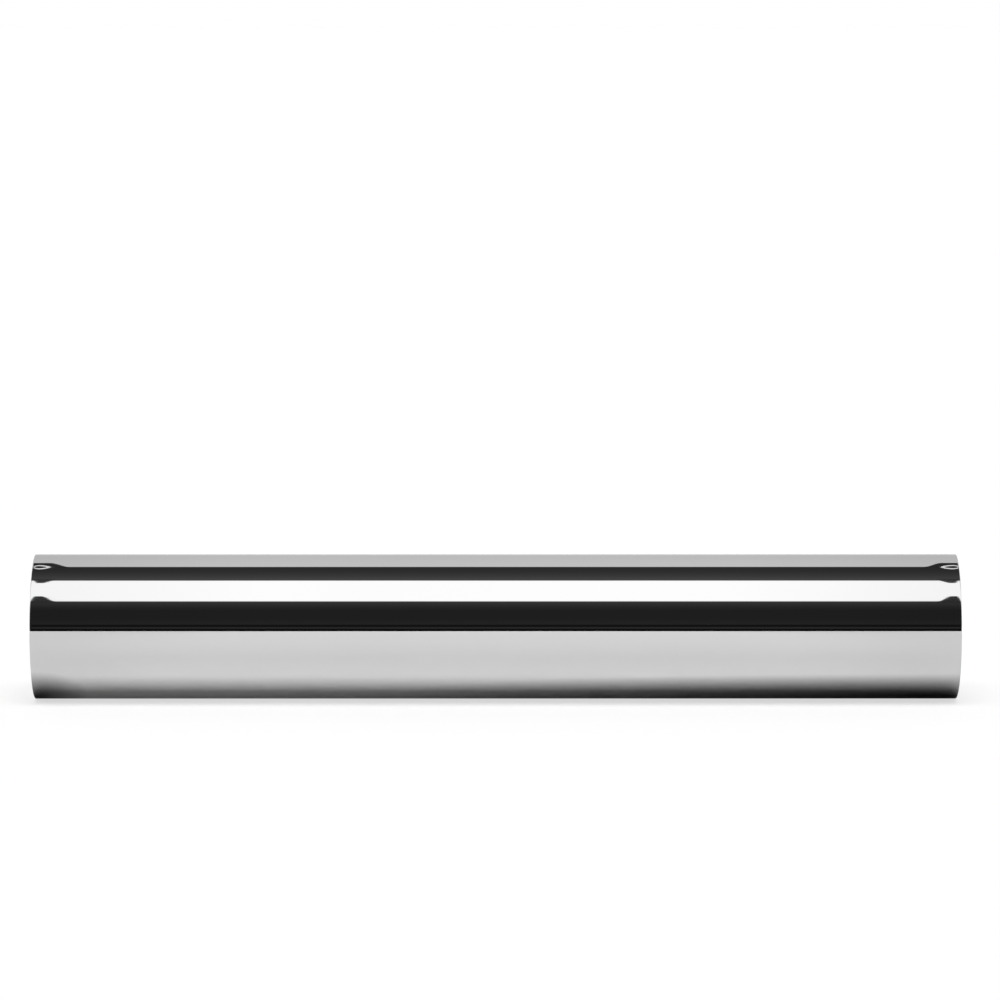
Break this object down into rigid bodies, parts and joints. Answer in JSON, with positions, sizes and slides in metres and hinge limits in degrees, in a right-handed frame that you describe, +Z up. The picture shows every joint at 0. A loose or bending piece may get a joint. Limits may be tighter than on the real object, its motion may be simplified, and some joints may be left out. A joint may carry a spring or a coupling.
{
  "type": "toilet connector pipe",
  "caption": "Straight thin-walled chrome-plated tube with square-cut, deburred ends, which carries the flush from a wall outlet to a toilet pan inlet.",
  "frame": {"origin": "middle of the tube's axis, half way between its end faces", "axes": "+X along the tube's axis, +Z up as the tube lies on its side, +Y away from the viewer"},
  "size_m": [0.287, 0.045, 0.045],
  "materials": {
    "chrome_plate": "mirror-polished chrome plate outside, dull unpolished bore"
  },
  "bodies": {
    "root": {"pipe": "chrome_plate"}
  },
  "joints": []
}
